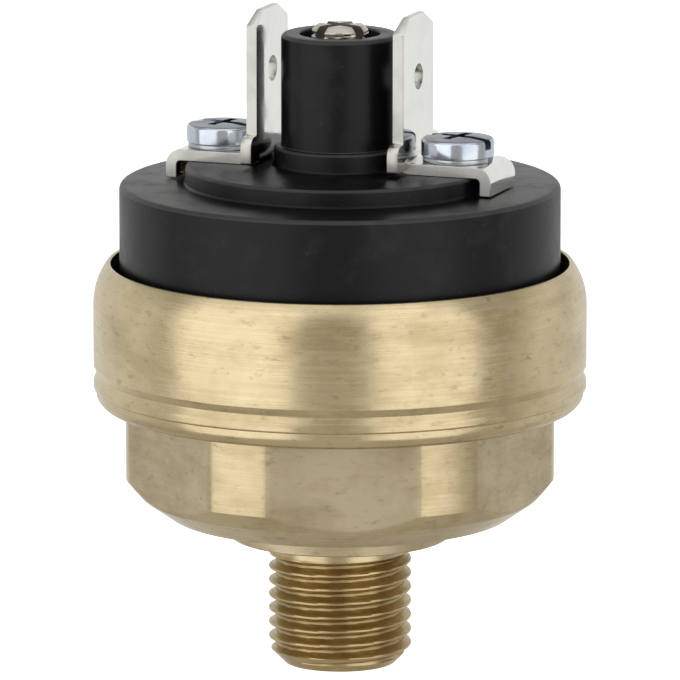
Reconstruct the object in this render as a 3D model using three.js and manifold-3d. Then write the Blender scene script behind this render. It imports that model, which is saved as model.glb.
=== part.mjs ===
// Adjustable diaphragm pressure switch: a turned brass body with an M10 x 1 port, a moulded cover with a
// central adjusting post, and two 6.3 mm tab terminals with clamp screws.
//
// Millimetres. +Z is up along the port's axis, and the origin is the centre of the port's sealing
// shoulder. The two terminals lie along X, one on each side of the post.

import * as THREE from 'three';
import { mergeVertices } from 'three/addons/utils/BufferGeometryUtils.js';
import Module from 'manifold-3d';

const wasm = await Module();
wasm.setup();

// ---------------------------------------------------------------------------------------------------
// Driving dimensions
// ---------------------------------------------------------------------------------------------------

const BIG_SEGMENTS = 48; // facets round the body and the cover
const MID_SEGMENTS = 24; // facets round the inner pieces
const SMALL_SEGMENTS = 20; // facets round screws, bushes and rivets
const COIL_STEPS = 10; // steps along each turn of a spring
const SLIP = 0.05; // gap between pieces that slide or sit in each other
const PRESS = 0.02; // gap round pieces that are pressed in
const EDGE = 0.2; // broken edge of the moulding and the turned pieces

// Port spigot, M10 x 1
const THREAD = { major: 5.0, minor: 4.39, pitch: 1.0, end: -9.0, steps: 24 };
const THREAD_TIP_RADIUS = 3.9;
const THREAD_RELIEF_RADIUS = 4.3;
const RUN_OUT = { radius: 5.1, depth: 0.1 }; // shallow recess round the thread in the sealing shoulder
const PORT_BORE_RADIUS = 1.75;

// Sealing collar, hexagon and the grooved ring of the body
const COLLAR = { radius: 7.7, top: 1.65, edge: 0.1 };
const HEX = { acrossFlats: 28, cornerRadius: 15.0, footRadius: 12.0, cornerFoot: 4.2, turn: -8.6 };
const KNEE = { radius: 14.0, height: 3.05 }; // where the two chamfers under the hexagon meet
const RING = { radius: 17.25, bottom: 9.4, footRadius: 16.05, top: 17.1 };
const BEAD = { crown: 10.8, shoulder: 11.25, fall: 0.12 };
const GROOVE = { radius: 16.8, height: 11.75, halfWidth: 0.28 };
const LIP = { arc: 4.0, top: 19.5, crest: 16.25, inner: 16.0, underside: 18.7, thickness: 0.8 };

// Bores of the body, from the pressure chamber up
const CHAMBER = { radius: 7.4, floor: 5.9 };
const SEAT = { radius: 12.0, height: 7.0 };
const LEDGE = { radius: 16.45, height: 12.6 };

// Diaphragm stack
const DIAPHRAGM = { radius: 11.9, thickness: 1.0, beadRadius: 0.4, beadAt: 10.6 };
const GUIDE = { radius: 11.9, bore: 7.8, stopBore: 7.1, stopHeight: 10.2 };
const PLATE = { radius: 7.5, thickness: 1.5, edge: 0.4 };

// Moving contact
const CARRIER = { flangeRadius: 6.9, flangeTop: 10.9, tubeRadius: 4.6, bore: 3.3, floor: 10.6, top: 19.6 };
const DISC = { radius: 10.4, bore: 4.75, bottom: 17.45, thickness: 0.6 };
const RETAINER = { radius: 5.9, thickness: 0.6 };

// Cover, plateau and post
const COVER = {
  radius: 15.4, top: 25.1, flangeRadius: 16.35, flangeTop: 17.3, neckBottom: 18.6, edge: 0.35,
};
const CAVITY = { radius: 11.9, lipRadius: 11.2, lipTop: 13.4, roof: 20.6 };
const SEAL = { radius: 14.3, section: 0.65, room: 0.15 };
const PLATEAU = { radius: 10.8, top: 26.4 };
const POST = { radius: 4.1, top: 35.65, bossRadius: 4.6, bossTop: 27.8, edge: 0.4, mouth: 2.8 };
const SPRING_WELL_RADIUS = 3.35;

// Set-point adjuster, M4 x 0.7
const INSERT = { radius: 2.8, top: 34.0, flangeRadius: 3.3, flangeBottom: 29.0, flangeTop: 29.6 };
const ADJUSTER = { radius: 2.0, top: 36.25, bottom: 28.25, tip: 0.6, edge: 0.45, slotTurn: 65 };
const ADJUSTER_SLOT = { width: 0.8, depth: 1.1 };
const SPRING_SEAT = { radius: 3.2, top: 28.2, thickness: 0.9, bossRadius: 1.9, bossLength: 0.9 };
const MAIN_SPRING = { radius: 2.6, wire: 0.4, coils: 9 };
const CONTACT_SPRING = { radius: 5.2, wire: 0.25, coils: 4 };

// Terminals and their clamp screws, M3 x 0.5
const SCREW_X = 8.7; // distance of each terminal screw from the port's axis
const BUSH = {
  radius: 2.2, flangeRadius: 2.7, flangeBottom: 19.9, bore: 1.56, boreBottom: 20.9, point: 0.4,
};
const TIP = { radius: 1.4, faceRadius: 1.0, bottom: 18.7, edge: 0.3 };
const STRIP = { thickness: 0.8, width: 5.3, bend: 0.3, inner: 5.0, hook: 12.0, hookBottom: 25.2 };
const TAB = { width: 6.3, top: 37.25, bevelWidth: 1.6, bevelHeight: 1.0, tipEdge: 0.18, tipLength: 0.9 };
const TAB_HOLE = { radius: 0.9, height: 32.9 };
const SHOULDER = { width: 8.7, bottom: 26.7, top: 28.6, bevel: 0.6 };
const WASHER = { outer: 2.45, inner: 1.6, thickness: 0.35, split: 12 };
const SCREW = { shank: 1.5, head: 2.55, headHeight: 1.35, edge: 0.35, tip: 21.3, hole: 1.62, slotTurn: 75 };
const SCREW_SLOT = { width: 0.7, depth: 0.75 };

const footTop = PLATEAU.top + STRIP.thickness;
const headBottom = footTop + WASHER.thickness;

// ---------------------------------------------------------------------------------------------------
// Materials
// ---------------------------------------------------------------------------------------------------

const metal = (color, roughness) => new THREE.MeshStandardMaterial({ color, roughness, metalness: 1 });
const polymer = (color, roughness) => new THREE.MeshStandardMaterial({ color, roughness, metalness: 0 });

const brass = metal(0xc9b07a, 0.35);
const zincPlated = metal(0xb9c2cc, 0.25);
const tinned = metal(0xd6d6cf, 0.3);
const springSteel = metal(0x8f9296, 0.35);
const silver = metal(0xe2e0d8, 0.25);
const blackMoulding = polymer(0x2a292c, 0.45);
const naturalMoulding = polymer(0xe4dfcf, 0.5);
const rubber = polymer(0x1c1c1e, 0.8);

// ---------------------------------------------------------------------------------------------------
// Geometry helpers
// ---------------------------------------------------------------------------------------------------

// Turns a profile of [radius, height] points, listed anticlockwise, about Z.
function turned(profile, segments) {
  const points = profile.map(([r, z]) => new THREE.Vector2(r, z));
  return new THREE.LatheGeometry(points, segments).rotateX(Math.PI / 2);
}

// The same for a profile that doesn't touch the axis, which closes on its first point.
function turnedRing(profile, segments) {
  return turned([...profile, profile[0]], segments);
}

// Points of an arc in a profile, angles in degrees.
function arc(centreR, centreZ, radius, from, to, steps) {
  return Array.from({ length: steps + 1 }, (_, i) => {
    const angle = THREE.MathUtils.degToRad(from + ((to - from) * i) / steps);
    return [centreR + radius * Math.cos(angle), centreZ + radius * Math.sin(angle)];
  });
}

// An upright prism of a THREE.Shape between two heights.
function prism(shape, bottom, top, curveSegments = 12) {
  const options = { depth: top - bottom, bevelEnabled: false, curveSegments };
  return new THREE.ExtrudeGeometry(shape, options).translate(0, 0, bottom);
}

function polygon(points) {
  return new THREE.Shape(points.map(([x, y]) => new THREE.Vector2(x, y)));
}

function cylinder(radius, bottom, top, segments) {
  return turned([[0, bottom], [radius, bottom], [radius, top], [0, top]], segments);
}

// A closed geometry as a manifold-3d solid.
function solid(geometry) {
  const bare = geometry.index ? geometry.toNonIndexed() : geometry.clone();
  bare.deleteAttribute('normal');
  bare.deleteAttribute('uv');
  const merged = mergeVertices(bare, 1e-4);
  const corners = merged.index.array;
  const kept = [];
  for (let i = 0; i < corners.length; i += 3) {
    const [a, b, c] = [corners[i], corners[i + 1], corners[i + 2]];
    if (a !== b && b !== c && c !== a) kept.push(a, b, c);
  }
  return new wasm.Manifold(new wasm.Mesh({
    numProp: 3,
    vertProperties: merged.attributes.position.array,
    triVerts: new Uint32Array(kept),
  }));
}

// A manifold-3d solid as a geometry.
function geometryOf(manifold) {
  const { vertProperties, triVerts } = manifold.getMesh();
  return new THREE.BufferGeometry()
    .setAttribute('position', new THREE.BufferAttribute(vertProperties, 3))
    .setIndex(new THREE.BufferAttribute(triVerts, 1));
}

function cut(body, ...tools) {
  return geometryOf(tools.reduce((left, tool) => left.subtract(solid(tool)), solid(body)));
}

function joined(...geometries) {
  return geometryOf(geometries.map(solid).reduce((whole, next) => whole.add(next)));
}

// Coil spring wire: a helix whose end turns lie flat.
class Coil extends THREE.Curve {
  constructor(radius, bottom, top, coils, wire) {
    super();
    Object.assign(this, { radius, bottom, top, coils, wire });
  }

  getPoint(t, target = new THREE.Vector3()) {
    const turn = t * this.coils;
    const lie = this.wire * 2.05; // rise of a closed end turn
    const first = this.bottom + this.wire;
    const last = this.top - this.wire;
    const pitch = (last - first - 2 * lie) / (this.coils - 2);
    let height = first + lie * turn;
    if (turn > 1) height = first + lie + pitch * (turn - 1);
    if (turn > this.coils - 1) height = last - lie * (this.coils - turn);
    const angle = turn * 2 * Math.PI;
    return target.set(this.radius * Math.cos(angle), this.radius * Math.sin(angle), height);
  }
}

function coilSpring({ radius, wire, coils }, bottom, top) {
  const section = new THREE.Shape().absarc(0, 0, wire, 0, 2 * Math.PI);
  const path = new Coil(radius, bottom, top, coils, wire);
  const options = { steps: coils * COIL_STEPS, extrudePath: path, curveSegments: 3, bevelEnabled: false };
  return new THREE.ExtrudeGeometry(section, options);
}

// A threaded rod along Z. Its rows follow the helix, so each turn has the same four: two at the root and
// two at the crest. Rows past an end are pressed onto it, where the radius is the same all round.
function threadedRod({ major, minor, pitch, steps }, bottom, top, bottomRadius, topRadius) {
  const turnRows = [[0.06, minor], [0.44, major], [0.56, major], [0.94, minor]];
  const perTurn = turnRows.length;
  const rows = perTurn * (Math.ceil((top - bottom) / pitch) + 3);
  const positions = [];
  for (let row = 0; row < rows; row += 1) {
    const [share, radius] = turnRows[row % perTurn];
    const start = bottom + pitch * (Math.floor(row / perTurn) - 1 + share - 1);
    for (let step = 0; step < steps; step += 1) {
      const z = THREE.MathUtils.clamp(start + (pitch * step) / steps, bottom, top);
      const r = Math.min(radius, bottomRadius + (z - bottom), topRadius + (top - z));
      const angle = (2 * Math.PI * step) / steps;
      positions.push(r * Math.cos(angle), r * Math.sin(angle), z);
    }
  }
  const at = (row, step) => {
    if (step < steps) return row * steps + step;
    return Math.min(row + perTurn, rows - 1) * steps;
  };
  const bottomCentre = rows * steps;
  const topCentre = bottomCentre + 1;
  positions.push(0, 0, bottom, 0, 0, top);
  const faces = [];
  for (let step = 0; step < steps; step += 1) {
    faces.push(bottomCentre, at(0, step + 1), at(0, step));
    faces.push(topCentre, at(rows - 1, step), at(rows - 1, step + 1));
    for (let row = 0; row < rows - 1; row += 1) {
      faces.push(at(row, step), at(row, step + 1), at(row + 1, step + 1));
      faces.push(at(row, step), at(row + 1, step + 1), at(row + 1, step));
    }
  }
  return new THREE.BufferGeometry()
    .setAttribute('position', new THREE.Float32BufferAttribute(positions, 3))
    .setIndex(faces);
}

// ---------------------------------------------------------------------------------------------------
// Body
// ---------------------------------------------------------------------------------------------------

function hexagonCutter() {
  const outline = new THREE.Shape().absarc(0, 0, 1.1 * RING.radius, 0, 2 * Math.PI);
  const corner = HEX.acrossFlats / Math.sqrt(3);
  const hole = new THREE.Path();
  for (let side = 0; side <= 6; side += 1) {
    const angle = THREE.MathUtils.degToRad(HEX.turn + 30 + 60 * side);
    const point = [corner * Math.cos(angle), corner * Math.sin(angle)];
    if (side === 0) hole.moveTo(...point);
    else hole.lineTo(...point);
  }
  outline.holes.push(hole);
  return prism(outline, COLLAR.edge, RING.bottom);
}

function brassBody() {
  const footEdge = RING.radius - RING.footRadius;
  const lipEnd = THREE.MathUtils.radToDeg(Math.asin((LIP.top - EDGE - RING.top) / LIP.arc));
  const outside = [
    [0, RUN_OUT.depth],
    [RUN_OUT.radius, RUN_OUT.depth],
    [RUN_OUT.radius, 0],
    [COLLAR.radius - COLLAR.edge, 0],
    [COLLAR.radius, COLLAR.edge],
    [COLLAR.radius, COLLAR.top],
    [HEX.footRadius, COLLAR.top],
    [KNEE.radius, KNEE.height],
    [HEX.cornerRadius, HEX.cornerFoot],
    [HEX.cornerRadius, RING.bottom],
    ...arc(RING.footRadius, RING.bottom + footEdge, footEdge, -90, 0, 3),
    [RING.radius, BEAD.crown],
    [RING.radius - BEAD.fall, BEAD.shoulder],
    [GROOVE.radius, GROOVE.height],
    [RING.radius, GROOVE.height + GROOVE.halfWidth],
    ...arc(RING.radius - LIP.arc, RING.top, LIP.arc, 0, lipEnd, 4),
    [LIP.crest, LIP.top],
    [LIP.inner, LIP.top - EDGE],
  ];
  const inside = [
    [LIP.inner, LIP.underside],
    [LEDGE.radius, LIP.underside - LIP.thickness],
    [LEDGE.radius, LEDGE.height],
    [SEAT.radius, LEDGE.height],
    [SEAT.radius, SEAT.height],
    [CHAMBER.radius, SEAT.height],
    [CHAMBER.radius, CHAMBER.floor],
    [0, CHAMBER.floor],
  ];
  const blank = solid(turned([...outside, ...inside], BIG_SEGMENTS));
  const spigotTop = COLLAR.top / 4; // the spigot's root reaches into the collar
  const spigot = solid(threadedRod(THREAD, THREAD.end, spigotTop, THREAD_TIP_RADIUS, THREAD_RELIEF_RADIUS));
  const bore = solid(cylinder(PORT_BORE_RADIUS, THREAD.end - 1, CHAMBER.floor + 1, SMALL_SEGMENTS));
  return geometryOf(blank.subtract(solid(hexagonCutter())).add(spigot).subtract(bore));
}

// ---------------------------------------------------------------------------------------------------
// Diaphragm stack
// ---------------------------------------------------------------------------------------------------

const diaphragmTop = SEAT.height + DIAPHRAGM.thickness;
const plateBottom = diaphragmTop + SLIP;
const carrierBottom = plateBottom + PLATE.thickness + SLIP;

function diaphragm() {
  const { radius, beadAt, beadRadius } = DIAPHRAGM;
  return turned([
    [0, SEAT.height],
    [radius, SEAT.height],
    [radius, diaphragmTop],
    ...arc(beadAt, diaphragmTop, beadRadius, 0, 180, 4),
    [0, diaphragmTop],
  ], MID_SEGMENTS);
}

function guideRing() {
  const groove = DIAPHRAGM.beadRadius + SLIP;
  return turnedRing([
    [GUIDE.bore, diaphragmTop],
    [DIAPHRAGM.beadAt - groove, diaphragmTop],
    [DIAPHRAGM.beadAt - groove, diaphragmTop + groove],
    [DIAPHRAGM.beadAt + groove, diaphragmTop + groove],
    [DIAPHRAGM.beadAt + groove, diaphragmTop],
    [GUIDE.radius, diaphragmTop],
    [GUIDE.radius, LEDGE.height],
    [GUIDE.stopBore, LEDGE.height],
    [GUIDE.stopBore, GUIDE.stopHeight],
    [GUIDE.bore, GUIDE.stopHeight],
  ], MID_SEGMENTS);
}

function pressurePlate() {
  const top = plateBottom + PLATE.thickness;
  return turned([
    [0, plateBottom],
    [PLATE.radius - PLATE.edge, plateBottom],
    [PLATE.radius, plateBottom + PLATE.edge],
    [PLATE.radius, top],
    [0, top],
  ], MID_SEGMENTS);
}

// ---------------------------------------------------------------------------------------------------
// Moving contact
// ---------------------------------------------------------------------------------------------------

function contactCarrier() {
  return turned([
    [0, carrierBottom],
    [CARRIER.flangeRadius, carrierBottom],
    [CARRIER.flangeRadius, CARRIER.flangeTop],
    [CARRIER.tubeRadius, CARRIER.flangeTop],
    [CARRIER.tubeRadius, CARRIER.top],
    [CARRIER.bore, CARRIER.top],
    [CARRIER.bore, CARRIER.floor],
    [0, CARRIER.floor],
  ], MID_SEGMENTS);
}

function flatRing(inner, outer, bottom, top, segments) {
  return turnedRing([[inner, bottom], [outer, bottom], [outer, top], [inner, top]], segments);
}

const contactSpring = () => coilSpring(CONTACT_SPRING, CARRIER.flangeTop + SLIP, DISC.bottom - SLIP);

const discTop = DISC.bottom + DISC.thickness;
const retainerBottom = discTop + SLIP;

const contactDisc = () => flatRing(DISC.bore, DISC.radius, DISC.bottom, discTop, MID_SEGMENTS);

function retainingRing() {
  const top = retainerBottom + RETAINER.thickness;
  return flatRing(CARRIER.tubeRadius + PRESS, RETAINER.radius, retainerBottom, top, MID_SEGMENTS);
}

// ---------------------------------------------------------------------------------------------------
// Cover
// ---------------------------------------------------------------------------------------------------

function terminalCover() {
  const bottom = LEDGE.height + SLIP;
  const grooveHalf = SEAL.section + SEAL.room;
  const grooveTop = bottom + 2 * SEAL.section + SLIP;
  const profile = turnedRing([
    [CAVITY.lipRadius, bottom],
    [SEAL.radius - grooveHalf, bottom],
    [SEAL.radius - grooveHalf, grooveTop],
    [SEAL.radius + grooveHalf, grooveTop],
    [SEAL.radius + grooveHalf, bottom],
    [COVER.flangeRadius - EDGE, bottom],
    [COVER.flangeRadius, bottom + EDGE],
    [COVER.flangeRadius, COVER.flangeTop],
    [COVER.radius, COVER.neckBottom],
    ...arc(COVER.radius - COVER.edge, COVER.top - COVER.edge, COVER.edge, 0, 90, 2),
    [PLATEAU.radius + EDGE, COVER.top],
    [PLATEAU.radius, COVER.top + EDGE],
    [PLATEAU.radius, PLATEAU.top - EDGE],
    [PLATEAU.radius - EDGE, PLATEAU.top],
    [POST.bossRadius, PLATEAU.top],
    [POST.bossRadius, POST.bossTop - EDGE],
    [POST.bossRadius - EDGE, POST.bossTop],
    [POST.radius, POST.bossTop],
    [POST.radius, POST.top - POST.edge],
    [POST.radius - POST.edge, POST.top],
    [POST.mouth, POST.top],
    [POST.mouth, INSERT.flangeTop],
    [SPRING_WELL_RADIUS, INSERT.flangeTop],
    [SPRING_WELL_RADIUS, CAVITY.roof],
    [CAVITY.radius, CAVITY.roof],
    [CAVITY.radius, CAVITY.lipTop],
    [CAVITY.lipRadius, CAVITY.lipTop],
  ], BIG_SEGMENTS);
  const bushHole = cylinder(BUSH.radius + PRESS, CAVITY.roof - 1, PLATEAU.top + 1, SMALL_SEGMENTS);
  const sides = [-1, 1];
  return cut(profile, ...sides.map((side) => bushHole.clone().translate(side * SCREW_X, 0, 0)));
}

function coverSeal() {
  const centre = LEDGE.height + SLIP + SEAL.section;
  return turnedRing(arc(SEAL.radius, centre, SEAL.section, -90, 225, 7), MID_SEGMENTS);
}

// ---------------------------------------------------------------------------------------------------
// Set-point adjuster
// ---------------------------------------------------------------------------------------------------

function threadedInsert() {
  const bore = ADJUSTER.radius + 2 * PRESS;
  return turnedRing([
    [bore, INSERT.flangeBottom],
    [INSERT.flangeRadius, INSERT.flangeBottom],
    [INSERT.flangeRadius, INSERT.flangeTop - PRESS],
    [INSERT.radius - PRESS, INSERT.flangeTop - PRESS],
    [INSERT.radius - PRESS, INSERT.top],
    [bore, INSERT.top],
  ], SMALL_SEGMENTS);
}

// A slot across a screw of this radius and top, as a box that reaches past both sides and the top.
function slotTool({ width, depth }, radius, top, turn) {
  return new THREE.BoxGeometry(width, 3 * radius, 2 * depth)
    .translate(0, 0, top)
    .rotateZ(THREE.MathUtils.degToRad(turn));
}

function adjustingScrew() {
  const { radius, top, bottom, tip, edge, slotTurn } = ADJUSTER;
  const rod = turned([
    [0, bottom],
    [radius - tip, bottom],
    [radius, bottom + tip],
    [radius, top - edge],
    [radius - edge, top],
    [0, top],
  ], SMALL_SEGMENTS);
  const slots = [slotTurn, slotTurn + 90].map((turn) => slotTool(ADJUSTER_SLOT, radius, top, turn));
  return cut(rod, ...slots);
}

function springSeat() {
  const { radius, top, thickness, bossRadius, bossLength } = SPRING_SEAT;
  return turned([
    [0, top - thickness - bossLength],
    [bossRadius, top - thickness - bossLength],
    [bossRadius, top - thickness],
    [radius, top - thickness],
    [radius, top],
    [0, top],
  ], SMALL_SEGMENTS);
}

function mainSpring() {
  const top = SPRING_SEAT.top - SPRING_SEAT.thickness - SLIP;
  return coilSpring(MAIN_SPRING, CARRIER.floor + SLIP, top);
}

// ---------------------------------------------------------------------------------------------------
// Terminals, for the side on +X; the other side is the same piece turned half round
// ---------------------------------------------------------------------------------------------------

// The bent strip seen from the side: hook over the plateau's edge, foot under the screw, and the bend
// that starts the tab.
function stripProfile() {
  const { thickness, bend, inner, hook, hookBottom } = STRIP;
  const outerBend = bend + thickness;
  const foot = PLATEAU.top;
  return polygon([
    [hook - thickness, hookBottom],
    ...arc(hook - outerBend, foot - bend, bend, 0, 90, 3),
    ...arc(inner + outerBend, foot + outerBend, outerBend, 270, 180, 5),
    [inner, SHOULDER.top],
    [inner + thickness, SHOULDER.top],
    ...arc(inner + outerBend, foot + outerBend, bend, 180, 270, 3),
    ...arc(hook - outerBend, foot - bend, outerBend, 90, 0, 5),
    [hook, hookBottom],
  ]);
}

function tabOutline() {
  const half = TAB.width / 2;
  const shoulder = SHOULDER.width / 2;
  const outline = polygon([
    [-shoulder, SHOULDER.bottom],
    [-STRIP.width / 2, SHOULDER.bottom],
    [-STRIP.width / 2, footTop + STRIP.bend],
    [STRIP.width / 2, footTop + STRIP.bend],
    [STRIP.width / 2, SHOULDER.bottom],
    [shoulder, SHOULDER.bottom],
    [shoulder, SHOULDER.top - SHOULDER.bevel],
    [shoulder - SHOULDER.bevel, SHOULDER.top],
    [half, SHOULDER.top],
    [half, TAB.top - TAB.bevelHeight],
    [half - TAB.bevelWidth, TAB.top],
    [-half + TAB.bevelWidth, TAB.top],
    [-half, TAB.top - TAB.bevelHeight],
    [-half, SHOULDER.top],
    [-shoulder + SHOULDER.bevel, SHOULDER.top],
    [-shoulder, SHOULDER.top - SHOULDER.bevel],
  ]);
  outline.holes.push(new THREE.Path().absarc(0, TAB_HOLE.height, TAB_HOLE.radius, 0, 2 * Math.PI));
  return outline;
}

// The tab's tip is thinned by a wedge on both faces.
function tipWedges() {
  const face = STRIP.thickness / 2;
  const slope = TAB.tipEdge / TAB.tipLength;
  return [-1, 1].map((side) => {
    const wedge = polygon([
      [side * face, TAB.top - TAB.tipLength],
      [side * (face + 1), TAB.top - TAB.tipLength],
      [side * (face + 1), TAB.top + 1],
      [side * (face - TAB.tipEdge - slope), TAB.top + 1],
    ]);
    return new THREE.ExtrudeGeometry(wedge, { depth: 2 * TAB.width, bevelEnabled: false })
      .rotateX(Math.PI / 2)
      .translate(STRIP.inner + face, TAB.width, 0);
  });
}

function terminal() {
  const strip = new THREE.ExtrudeGeometry(stripProfile(), { depth: STRIP.width, bevelEnabled: false })
    .rotateX(Math.PI / 2)
    .translate(0, STRIP.width / 2, 0);
  const options = { depth: STRIP.thickness, bevelEnabled: false, curveSegments: 6 };
  const tab = new THREE.ExtrudeGeometry(tabOutline(), options)
    .rotateX(Math.PI / 2)
    .rotateZ(Math.PI / 2)
    .translate(STRIP.inner, 0, 0);
  const screwHole = cylinder(SCREW.hole, PLATEAU.top - 1, footTop + 1, SMALL_SEGMENTS)
    .translate(SCREW_X, 0, 0);
  return cut(joined(strip, tab), screwHole, ...tipWedges());
}

function contactBush() {
  return turned([
    [0, BUSH.flangeBottom],
    [BUSH.flangeRadius, BUSH.flangeBottom],
    [BUSH.flangeRadius, CAVITY.roof - PRESS],
    [BUSH.radius, CAVITY.roof - PRESS],
    [BUSH.radius, PLATEAU.top - PRESS],
    [BUSH.bore, PLATEAU.top - PRESS],
    [BUSH.bore, BUSH.boreBottom],
    [0, BUSH.boreBottom - BUSH.point],
  ], SMALL_SEGMENTS).translate(SCREW_X, 0, 0);
}

function contactTip() {
  return turned([
    [0, TIP.bottom],
    [TIP.faceRadius, TIP.bottom],
    [TIP.radius, TIP.bottom + TIP.edge],
    [TIP.radius, BUSH.flangeBottom],
    [0, BUSH.flangeBottom],
  ], SMALL_SEGMENTS).translate(SCREW_X, 0, 0);
}

function lockWasher() {
  const gap = THREE.MathUtils.degToRad(WASHER.split);
  const ring = new THREE.Shape()
    .absarc(0, 0, WASHER.outer, gap, 2 * Math.PI - gap)
    .absarc(0, 0, WASHER.inner, 2 * Math.PI - gap, gap, true);
  return prism(ring, footTop, headBottom, SMALL_SEGMENTS / 2).translate(SCREW_X, 0, 0);
}

function terminalScrew() {
  const headTop = headBottom + SCREW.headHeight;
  const blank = turned([
    [0, SCREW.tip],
    [SCREW.shank - SCREW.edge, SCREW.tip],
    [SCREW.shank, SCREW.tip + SCREW.edge],
    [SCREW.shank, headBottom],
    [SCREW.head, headBottom],
    [SCREW.head, headTop - SCREW.edge],
    [SCREW.head - SCREW.edge, headTop],
    [0, headTop],
  ], SMALL_SEGMENTS);
  return cut(blank, slotTool(SCREW_SLOT, SCREW.head, headTop, SCREW.slotTurn)).translate(SCREW_X, 0, 0);
}

// ---------------------------------------------------------------------------------------------------
// Assembly
// ---------------------------------------------------------------------------------------------------

const pressureSwitch = new THREE.Group();

function add(name, geometry, material, turn = 0) {
  const mesh = new THREE.Mesh(geometry, material);
  mesh.name = name;
  mesh.rotation.z = turn;
  pressureSwitch.add(mesh);
}

add('brass_body', brassBody(), brass);
add('diaphragm', diaphragm(), rubber);
add('guide_ring', guideRing(), brass);
add('pressure_plate', pressurePlate(), brass);
add('contact_carrier', contactCarrier(), naturalMoulding);
add('contact_spring', contactSpring(), springSteel);
add('contact_disc', contactDisc(), silver);
add('retaining_ring', retainingRing(), springSteel);
add('main_spring', mainSpring(), springSteel);
add('spring_seat', springSeat(), zincPlated);
add('threaded_insert', threadedInsert(), brass);
add('adjusting_screw', adjustingScrew(), zincPlated);
add('terminal_cover', terminalCover(), blackMoulding);
add('cover_seal', coverSeal(), rubber);

[['right', 0], ['left', Math.PI]].forEach(([side, turn]) => {
  add(`terminal_${side}`, terminal(), tinned, turn);
  add(`contact_bush_${side}`, contactBush(), brass, turn);
  add(`contact_tip_${side}`, contactTip(), silver, turn);
  add(`lock_washer_${side}`, lockWasher(), springSteel, turn);
  add(`terminal_screw_${side}`, terminalScrew(), zincPlated, turn);
});

export default pressureSwitch;
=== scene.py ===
import math

import bmesh
import bpy
from mathutils import Matrix, Vector

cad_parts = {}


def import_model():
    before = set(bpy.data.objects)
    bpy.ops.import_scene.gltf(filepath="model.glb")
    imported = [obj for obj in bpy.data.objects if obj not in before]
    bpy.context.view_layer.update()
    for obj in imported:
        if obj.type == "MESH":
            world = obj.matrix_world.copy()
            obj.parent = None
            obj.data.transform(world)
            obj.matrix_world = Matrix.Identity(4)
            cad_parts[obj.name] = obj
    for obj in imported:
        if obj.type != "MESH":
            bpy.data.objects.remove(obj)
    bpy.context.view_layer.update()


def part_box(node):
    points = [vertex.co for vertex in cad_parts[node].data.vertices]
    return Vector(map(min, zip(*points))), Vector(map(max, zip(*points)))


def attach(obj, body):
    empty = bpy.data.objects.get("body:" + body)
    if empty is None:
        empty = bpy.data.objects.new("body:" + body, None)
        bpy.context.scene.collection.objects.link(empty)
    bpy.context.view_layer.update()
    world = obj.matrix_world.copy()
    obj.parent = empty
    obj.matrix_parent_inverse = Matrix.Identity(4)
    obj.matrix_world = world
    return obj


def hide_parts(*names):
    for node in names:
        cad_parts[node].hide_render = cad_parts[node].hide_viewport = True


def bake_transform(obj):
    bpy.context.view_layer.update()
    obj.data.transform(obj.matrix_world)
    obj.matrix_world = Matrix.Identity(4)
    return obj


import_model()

# Looks of an adjustable pressure switch. Shapes are in millimetres here and in metres in the meshes; +Z is
# up along the port's axis, and the origin is the centre of the port's sealing shoulder.
MM = 0.001

# ---------------------------------------------------------------------------------------------------
# Dimensions
# ---------------------------------------------------------------------------------------------------


def low(node):
    """Lowest corner of a CAD node's box."""
    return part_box(node)[0] / MM


def high(node):
    """Highest corner of a CAD node's box."""
    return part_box(node)[1] / MM


def side_name(side):
    return "right" if side > 0 else "left"


# Columns of faces round a turned piece
BODY_COLUMNS = 360
COVER_COLUMNS = 256
INNER_COLUMNS = 144
SMALL_COLUMNS = 96
SMOOTH_ANGLE = 32  # degrees; a sharper edge is shaded as an edge
CLEAR = 1  # how far a cutting tool reaches past what it cuts

CLAMP_SLOT = math.radians(75)  # turn of the slots of the terminal screws
ADJUSTER_SLOT = math.radians(65)  # turn of the cross slot of the adjusting screw

# Port spigot, M10 x 1
THREAD_MAJOR = 5.0
THREAD_PITCH = 1.0
THREAD_ROWS = 16  # rows of the mesh in one pitch
THREAD_PHASE = 0.26  # height of a crest over the X axis, in pitches
ROOT_RADIUS = 4.52  # below it the thread is painted darker and duller: a painted shade in its roots
NECK_RADIUS, NECK_BOTTOM, THREAD_FULL = 4.88, -0.95, -1.3  # plain neck that the thread fades into
SPIGOT_END = low("brass_body").z
TIP_RADIUS = 3.9  # radius of the spigot's end, which widens at 45 degrees from there
TIP_HEIGHT = 0.7  # height of the end whose roots get no painted shade
RUN_OUT_RADIUS, RUN_OUT_DEPTH = 5.1, 0.1  # shallow recess round the thread under the collar
BORE_RADIUS, BORE_CHAMFER, BORE_CHAMFER_TOP = 1.75, 0.4, -8.6

# Body
COLLAR_RADIUS, COLLAR_TOP = 7.7, 1.65
HEX_FLAT = 14.0  # centre to flat
HEX_TURN = math.radians(-8.6)  # direction of one flat
HEX_FOOT, HEX_CORNER, HEX_CORNER_FOOT = 12.0, 15.0, 4.2
KNEE_RADIUS, KNEE_HEIGHT = 14.0, 3.05  # where the two chamfers under the hexagon meet
HEX_EDGE = 0.25  # blend where a flat meets the turned corner
RING_RADIUS, RING_BOTTOM = high("brass_body").x, 9.4
STEP_RADIUS, STEP_BOTTOM, STEP_TOP = RING_RADIUS - 0.17, 10.62, 10.72
GROOVE_RADIUS, GROOVE_BOTTOM, GROOVE_MIDDLE, GROOVE_TOP = 16.98, 11.2, 11.74, 12.32
BULGE_TOP, BULGE_FILLET = 18.2, 4.6  # where the ring starts to roll in to its lip
LIP_RADIUS, LIP_EDGE = 16.0, 16.25
LIP_BOTTOM, LIP_TOP = 18.7, high("brass_body").z
CAVITY_RADIUS, CAVITY_TOP, CAVITY_FLOOR = 16.45, 17.9, 12.6
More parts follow.
